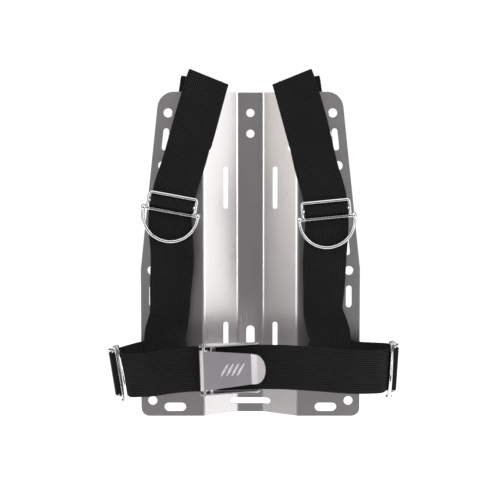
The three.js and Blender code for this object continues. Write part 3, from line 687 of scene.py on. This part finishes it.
class HARNESS_OT_rings(bpy.types.Operator):
    """D-rings hinged on the shoulder and hip slides"""

    bl_idname = "harness.rings"
    bl_label = "D-rings"

    def execute(self, context):
        size = context.scene.harness_fittings
        for place in ("shoulder", "hip"):
            for side in SIDES:
                node = f"{place}_d_ring_{side}"
                piece = d_ring(size, f"{place}_wire_ring_{side}",
                               hinge_matrix(place, side, size, HIP_RING_TURN))
                hand_over(piece, wire_material, node + "_body", "wire_steel", node)
        return {"FINISHED"}


class HARNESS_OT_buckle(bpy.types.Operator):
    """Lever buckle: frame with side rails, pin and lever"""

    bl_idname = "harness.buckle"
    bl_label = "Lever buckle"

    def execute(self, context):
        body = softened("buckle_frame", "buckle_sheet", 0.3 * MM)
        hand_over(body, buckle_material, HARNESS_BODY, "buckle_steel", "buckle_frame")
        pin = softened("buckle_pin", "buckle_hinge_pin", 0.35 * MM)
        hand_over(pin, wire_material, HARNESS_BODY, "wire_steel", "buckle_pin")
        lever = self.ribbed(softened("buckle_lever", "buckle_tongue", 0.4 * MM, rounds=3))
        hand_over(lever, buckle_material, "buckle_lever_body", "buckle_steel", "buckle_lever")
        return {"FINISHED"}

    @staticmethod
    def ribbed(lever):
        """The lever with a row of slanted grip ribs raised on its face."""
        row = JOINTS["buckle_lever_open"]
        up = -Vector(row["axis"]).normalized()
        out = Vector((0, -1, 0))
        face = Matrix((up.cross(out), up, out)).transposed().to_4x4()
        ribs = []
        for i in range(RIB_COUNT):
            nothing_selected()
            bpy.ops.mesh.primitive_uv_sphere_add(segments=24, ring_count=16, radius=1)
            rib = bpy.context.object
            reach = RIB_START + RIB_PITCH * i
            rib.matrix_world = (
                Matrix.Translation(Vector(row["pos_m"])) @ face
                @ Matrix.Translation((reach, 0, LEVER_RISE - LEVER_FALL * reach))
                @ Matrix.Rotation(radians(RIB_SLANT), 4, "Z")
                @ Matrix.Diagonal((*RIB_HALF, 1)))
            pick(rib)
            bpy.ops.object.transform_apply(location=True, rotation=True, scale=True)
            smooth(rib, 60)
            ribs.append(rib)
        pick(lever, *ribs)
        bpy.ops.object.join()
        return bpy.context.object


class HARNESS_OT_stage(bpy.types.Operator):
    """Pale floor, soft studio lights and the camera"""

    bl_idname = "harness.stage"
    bl_label = "Stage"

    def execute(self, context):
        self.floor()
        self.sky(context.scene)
        self.lights()
        self.camera(context.scene)
        context.scene.view_settings.view_transform = "Standard"
        return {"FINISHED"}

    @staticmethod
    def floor():
        nothing_selected()
        bpy.ops.mesh.primitive_plane_add(size=6, location=(0, 2.1, -0.75))
        floor = bpy.context.object
        floor.name = "floor"
        n = Nodes("pale_floor")
        grain = n.noise(n.place(), 3.0)
        floor.data.materials.append(n.set(
            Base_Color=n.mix(grain, (0.90, 0.90, 0.90, 1), (0.93, 0.93, 0.93, 1)),
            Roughness=0.9, Emission_Color=(1, 1, 1, 1), Emission_Strength=1.0))

    @staticmethod
    def sky(scene):
        world = bpy.data.worlds.new("studio")
        scene.world = world
        world.use_nodes = True
        tree = world.node_tree
        ground = tree.nodes["Background"]
        ground.inputs["Color"].default_value = (0.20, 0.19, 0.20, 1)
        ground.inputs["Strength"].default_value = 1.0
        white = tree.nodes.new("ShaderNodeBackground")
        white.inputs["Color"].default_value = (1, 1, 1, 1)
        white.inputs["Strength"].default_value = 1.05
        ray = tree.nodes.new("ShaderNodeLightPath")
        mix = tree.nodes.new("ShaderNodeMixShader")
        tree.links.new(ray.outputs["Is Camera Ray"], mix.inputs[0])
        tree.links.new(ground.outputs[0], mix.inputs[1])
        tree.links.new(white.outputs[0], mix.inputs[2])
        tree.links.new(mix.outputs[0], tree.nodes["World Output"].inputs[0])

    @staticmethod
    def lights():
        """Name: place, width, height, power, colour; each one faces the harness."""
        cards = {
            "right_wall": ((1.5, -0.75, 0.1), 1.4, 2.6, 11.5, WHITE),
            "left_wall": ((-1.5, -0.75, 0.72), 1.4, 2.0, 4.4, (1.0, 0.91, 0.83)),
            "right_key": ((0.95, -1.25, 0.35), 0.55, 1.6, 8, WHITE),
            "left_key": ((-0.95, -1.25, 0.35), 0.55, 1.6, 8, WHITE),
            "brow": ((0, -1.15, 0.85), 1.6, 0.45, 2.2, WHITE),
            "top": ((0, -0.6, 1.6), 2.0, 1.2, 14, WHITE),
            "rear": ((0, 1.8, 0.8), 2.4, 1.6, 9, WHITE),
        }
        for name, (spot, width, height, power, colour) in cards.items():
            light = bpy.data.lights.new(name, "AREA")
            light.shape = "RECTANGLE"
            light.size, light.size_y = width, height
            light.energy, light.color = power, colour
            lamp = bpy.data.objects.new(name, light)
            bpy.context.scene.collection.objects.link(lamp)
            lamp.location = spot
            lamp.rotation_euler = (-Vector(spot)).to_track_quat("-Z", "Y").to_euler()
            lamp.visible_camera = False

    @staticmethod
    def camera(scene):
        data = bpy.data.cameras.new("camera")
        data.lens = LENS
        data.shift_x = -0.0008
        data.shift_y = -0.12
        data.dof.use_dof = False
        camera = bpy.data.objects.new("camera", data)
        scene.collection.objects.link(camera)
        camera.location = (0, -1.325, 0.1066)
        camera.rotation_euler = (pi / 2 - atan(LOOK_DOWN * SENSOR_WIDTH / LENS), 0, 0)
        scene.camera = camera


class HARNESS_PT_panel(bpy.types.Panel):
    """Lists the harness's pieces"""

    bl_label = "Diving Harness"
    bl_idname = "HARNESS_PT_panel"
    bl_space_type = "VIEW_3D"
    bl_region_type = "UI"
    bl_category = "Harness"

    def draw(self, context):
        for group in (context.scene.harness_fittings, context.scene.harness_finishes):
            for key in group.__annotations__:
                self.layout.prop(group, key)
        for maker in MAKERS:
            self.layout.operator(maker.bl_idname)


MAKERS = (HARNESS_OT_backplate, HARNESS_OT_straps, HARNESS_OT_slides, HARNESS_OT_rings,
          HARNESS_OT_buckle, HARNESS_OT_stage)
CLASSES = (HarnessFittings, HarnessFinishes, *MAKERS, HARNESS_PT_panel)


def register():
    for cls in CLASSES:
        bpy.utils.register_class(cls)
    bpy.types.Scene.harness_fittings = bpy.props.PointerProperty(type=HarnessFittings)
    bpy.types.Scene.harness_finishes = bpy.props.PointerProperty(type=HarnessFinishes)


def unregister():
    del bpy.types.Scene.harness_finishes
    del bpy.types.Scene.harness_fittings
    for cls in reversed(CLASSES):
        bpy.utils.unregister_class(cls)


def main():
    register()
    for maker in MAKERS:
        group, name = maker.bl_idname.split(".")
        getattr(getattr(bpy.ops, group), name)()


if __name__ == "__main__":
    main()
